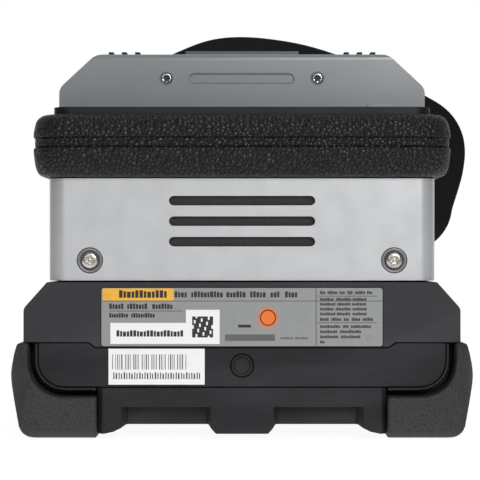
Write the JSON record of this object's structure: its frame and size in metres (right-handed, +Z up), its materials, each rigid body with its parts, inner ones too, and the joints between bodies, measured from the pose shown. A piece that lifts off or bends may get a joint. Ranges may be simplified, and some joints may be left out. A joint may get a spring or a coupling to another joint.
{
  "type": "fiber fusion splicer",
  "caption": "Portable optical fibre fusion splicer with rubber-footed base, bumper, two-part wind cover over a splicing well, tube heater, tilting monitor, battery and hand strap.",
  "frame": {"origin": "on the ground under the middle of the feet", "axes": "+Z up, -Y towards the operator and the monitor, +Y towards the vented rear face, +X the battery's side"},
  "size_m": [0.196, 0.1775, 0.1753],
  "materials": {
    "silver_paint": "satin metallic",
    "grey_paint": "satin metallic",
    "black_plastic": "matte",
    "black_rubber": "grained matte",
    "steel": "plated",
    "aluminium": "blasted and anodised",
    "ceramic": "ground ceramic",
    "circuit_board": "solder mask",
    "label": "silvered film",
    "sticker": "coated paper",
    "screen": "gloss",
    "webbing": "ribbed weave",
    "battery_wrap": "fine grain"
  },
  "bodies": {
    "base": {"skid_plate": "black_plastic", "chassis_tray": "black_plastic", "access_plug": "black_rubber", "lower_housing": "black_plastic", "rating_label": "label", "asset_sticker": "sticker", "foot_rear_left": "black_rubber", "foot_rear_right": "black_rubber", "foot_front_left": "black_rubber", "foot_front_right": "black_rubber", "port_block": "black_plastic", "rear_cover": "silver_paint", "rear_screw_left": "steel", "rear_screw_right": "steel", "vent_filter": "black_rubber", "fan_frame": "black_plastic", "main_board": "circuit_board", "arc_supply": "black_plastic", "front_cover": "black_plastic", "upper_housing": "black_plastic", "bumper_band": "black_rubber", "top_deck": "black_plastic", "hinge_pin_rear": "steel", "hinge_pin_front": "steel", "splice_base": "aluminium", "v_groove_left": "ceramic", "v_groove_right": "ceramic", "electrode_front": "steel", "electrode_rear": "steel", "lens_block": "steel", "cover_motor": "steel", "heater_body": "aluminium", "heater_pin": "steel", "strap_anchor_left": "black_plastic", "strap_anchor_right": "black_plastic", "strap": "webbing"},
    "cover_rear": {"wind_cover_rear": "grey_paint", "grip_ribs_left": "black_rubber", "grip_ribs_right": "black_rubber", "finger_lip": "black_plastic", "cover_screw_left": "steel", "cover_screw_right": "steel"},
    "cover_front": {"wind_cover_front": "grey_paint"},
    "heater_lid": {"heater_lid": "grey_paint"},
    "stage_left": {"stage_left": "aluminium"},
    "stage_right": {"stage_right": "aluminium"},
    "clamp_left": {"sheath_clamp_left": "grey_paint"},
    "clamp_right": {"sheath_clamp_right": "grey_paint"},
    "fan_rotor": {"fan_rotor": "black_plastic"},
    "battery": {"battery": "battery_wrap"},
    "battery_latch": {"battery_latch": "black_plastic"},
    "port_flap": {"port_flap": "black_rubber"},
    "monitor": {"monitor_back": "grey_paint", "monitor_bezel": "black_plastic", "monitor_screen": "screen"},
    "key_power": {"key_power": "black_plastic"},
    "key_heat": {"key_heat": "black_plastic"},
    "key_cursor": {"key_cursor": "black_plastic"},
    "key_set": {"key_set": "black_plastic"},
    "key_reset": {"key_reset": "black_plastic"}
  },
  "joints": [
    {"name": "cover_rear_hinge", "type": "hinge", "parent": "base", "child": "cover_rear", "pos_m": [0, 0.0672, 0.1282], "axis": [-1, 0, 0], "range_deg": [0, 75]},
    {"name": "cover_front_hinge", "type": "hinge", "parent": "base", "child": "cover_front", "pos_m": [0, 0.0028, 0.1282], "axis": [1, 0, 0], "range_deg": [0, 75]},
    {"name": "heater_lid_hinge", "type": "hinge", "parent": "base", "child": "heater_lid", "pos_m": [0, -0.026, 0.1363], "axis": [-1, 0, 0], "range_deg": [0, 65]},
    {"name": "stage_left_feed", "type": "slide", "parent": "base", "child": "stage_left", "axis": [1, 0, 0], "range_m": [-0.002, 0.004]},
    {"name": "stage_right_feed", "type": "slide", "parent": "base", "child": "stage_right", "axis": [-1, 0, 0], "range_m": [-0.002, 0.004]},
    {"name": "clamp_left_hinge", "type": "hinge", "parent": "stage_left", "child": "clamp_left", "pos_m": [-0.0385, 0.0454, 0.1235], "axis": [-1, 0, 0], "range_deg": [0, 70]},
    {"name": "clamp_right_hinge", "type": "hinge", "parent": "stage_right", "child": "clamp_right", "pos_m": [0.0385, 0.0454, 0.1235], "axis": [-1, 0, 0], "range_deg": [0, 70]},
    {"name": "fan_spin", "type": "hinge", "parent": "base", "child": "fan_rotor", "pos_m": [0, 0.0685, 0.0823], "axis": [0, 1, 0], "continuous": true},
    {"name": "battery_slide", "type": "slide", "parent": "base", "child": "battery", "axis": [1, 0, 0], "range_m": [0, 0.141]},
    {"name": "battery_latch_slide", "type": "slide", "parent": "base", "child": "battery_latch", "axis": [0, 1, 0], "range_m": [0, 0.005]},
    {"name": "port_flap_hinge", "type": "hinge", "parent": "base", "child": "port_flap", "pos_m": [-0.0841, -0.003, 0.04], "axis": [0, -1, 0], "range_deg": [0, 100]},
    {"name": "monitor_tilt", "type": "hinge", "parent": "base", "child": "monitor", "pos_m": [0, -0.08235, 0.118], "axis": [-1, 0, 0], "range_deg": [0, 160]},
    {"name": "key_power_press", "type": "slide", "parent": "monitor", "child": "key_power", "axis": [0, 1, 0], "range_m": [0, 0.0006], "stiffness_N_per_m": 500, "springref_m": -0.001},
    {"name": "key_heat_press", "type": "slide", "parent": "monitor", "child": "key_heat", "axis": [0, 1, 0], "range_m": [0, 0.0006], "stiffness_N_per_m": 500, "springref_m": -0.001},
    {"name": "key_cursor_press", "type": "slide", "parent": "monitor", "child": "key_cursor", "axis": [0, 1, 0], "range_m": [0, 0.0006], "stiffness_N_per_m": 500, "springref_m": -0.001},
    {"name": "key_set_press", "type": "slide", "parent": "monitor", "child": "key_set", "axis": [0, 1, 0], "range_m": [0, 0.0006], "stiffness_N_per_m": 500, "springref_m": -0.001},
    {"name": "key_reset_press", "type": "slide", "parent": "monitor", "child": "key_reset", "axis": [0, 1, 0], "range_m": [0, 0.0006], "stiffness_N_per_m": 500, "springref_m": -0.001}
  ],
  "couplings": [
    {"joint": "cover_front_hinge", "follows": "cover_rear_hinge", "ratio": 1}
  ]
}
